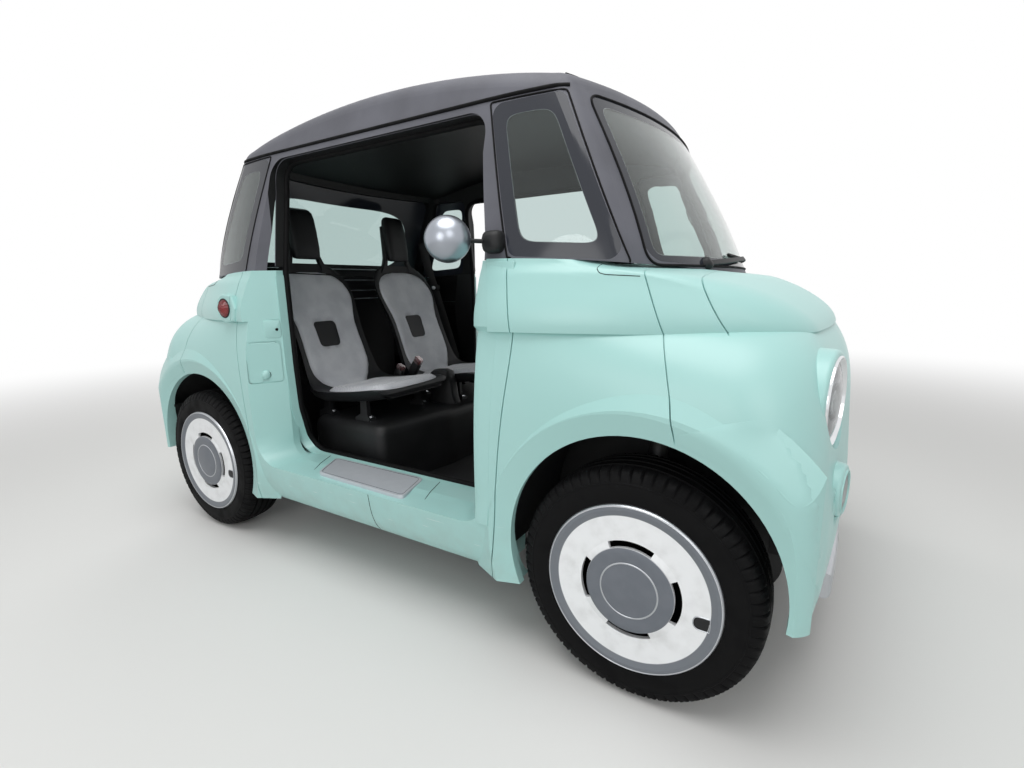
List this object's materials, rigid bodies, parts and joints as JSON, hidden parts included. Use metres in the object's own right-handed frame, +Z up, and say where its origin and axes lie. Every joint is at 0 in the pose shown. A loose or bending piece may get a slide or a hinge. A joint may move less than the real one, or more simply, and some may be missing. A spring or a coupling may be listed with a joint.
{
  "type": "two-seat electric microcar",
  "caption": "Small open-sided two-seat electric microcar with rounded fascias, dark roof and pillars, ball mirrors, covered wheels, working steering and a charge flap.",
  "frame": {"origin": "on the ground, under the middle of the car's box", "axes": "+X forward along the car, +Y to the car's left, +Z up"},
  "size_m": [2.5352, 1.6036, 1.53],
  "materials": {
    "body_mint": "satin",
    "grey_plastic": "satin",
    "seal_rubber": "matte",
    "clear_glass": "polished",
    "black_plastic": "matte",
    "pad_fabric": "matte",
    "tyre_rubber": "matte",
    "wheel_silver": "satin",
    "dark_steel": "painted",
    "motor_casting": "cast",
    "lamp_chrome": "polished",
    "tail_red": "polished",
    "silver_satin": "satin"
  },
  "bodies": {
    "car_body": {"front_fascia": "body_mint", "rear_fascia": "body_mint", "quarter_panels": "body_mint", "bonnet": "body_mint", "tailgate": "body_mint", "door_surrounds": "body_mint", "roof": "grey_plastic", "soft_top": "grey_plastic", "pillar_frame": "grey_plastic", "door_seals": "seal_rubber", "windscreen": "clear_glass", "rear_window": "clear_glass", "quarter_windows": "clear_glass", "wheel_liners": "black_plastic", "floor_pan": "black_plastic", "bulkheads": "black_plastic", "dashboard": "black_plastic", "steering_column": "black_plastic", "seat_shells": "black_plastic", "seat_base": "black_plastic", "seat_pads": "pad_fabric", "front_subframe": "dark_steel", "rear_axle": "dark_steel", "motor": "motor_casting", "headlamps": "lamp_chrome", "small_lamps": "lamp_chrome", "tail_lamps": "tail_red", "mirrors": "silver_satin", "bumper_bars": "silver_satin"},
    "knuckle_right": {"knuckle_right": "dark_steel"},
    "knuckle_left": {"knuckle_left": "dark_steel"},
    "steering_rack": {"steering_rack": "dark_steel"},
    "steering_wheel": {"steering_wheel": "black_plastic"},
    "charge_flap": {"charge_flap": "body_mint"},
    "wheel_front_right": {"tyre_front_right": "tyre_rubber", "wheel_front_right": "wheel_silver"},
    "wheel_front_left": {"tyre_front_left": "tyre_rubber", "wheel_front_left": "wheel_silver"},
    "wheel_rear_right": {"tyre_rear_right": "tyre_rubber", "wheel_rear_right": "wheel_silver"},
    "wheel_rear_left": {"tyre_rear_left": "tyre_rubber", "wheel_rear_left": "wheel_silver"}
  },
  "joints": [
    {"name": "steer_right", "type": "hinge", "parent": "car_body", "child": "knuckle_right", "pos_m": [0.864, -0.56, 0.178], "axis": [0, 0.2216, 0.9751], "range_deg": [-32, 32]},
    {"name": "steer_left", "type": "hinge", "parent": "car_body", "child": "knuckle_left", "pos_m": [0.864, 0.56, 0.178], "axis": [0, -0.2216, 0.9751], "range_deg": [-32, 32]},
    {"name": "rack_slide", "type": "slide", "parent": "car_body", "child": "steering_rack", "axis": [0, 1, 0], "range_m": [-0.07, 0.07]},
    {"name": "steering_wheel_turn", "type": "hinge", "parent": "car_body", "child": "steering_wheel", "pos_m": [0.3, 0.225, 0.85], "axis": [-0.9063, 0, 0.4226], "range_deg": [-450, 450]},
    {"name": "charge_flap_hinge", "type": "hinge", "parent": "car_body", "child": "charge_flap", "pos_m": [-0.47333, -0.63996, 0.7605], "axis": [-0.5128, -0.8585, 0], "range_deg": [0, 100]},
    {"name": "roll_front_right", "type": "hinge", "parent": "knuckle_right", "child": "wheel_front_right", "pos_m": [0.864, -0.605, 0.2785], "axis": [0, 1, 0], "continuous": true},
    {"name": "roll_front_left", "type": "hinge", "parent": "knuckle_left", "child": "wheel_front_left", "pos_m": [0.864, 0.605, 0.2785], "axis": [0, 1, 0], "continuous": true},
    {"name": "roll_rear_right", "type": "hinge", "parent": "car_body", "child": "wheel_rear_right", "pos_m": [-0.864, -0.605, 0.2785], "axis": [0, 1, 0], "continuous": true},
    {"name": "roll_rear_left", "type": "hinge", "parent": "car_body", "child": "wheel_rear_left", "pos_m": [-0.864, 0.605, 0.2785], "axis": [0, 1, 0], "continuous": true}
  ],
  "couplings": [
    {"joint": "steer_left", "follows": "steer_right", "ratio": 1},
    {"joint": "rack_slide", "follows": "steer_right", "m_per_rad": -0.1179},
    {"joint": "steering_wheel_turn", "follows": "steer_right", "ratio": 14}
  ]
}
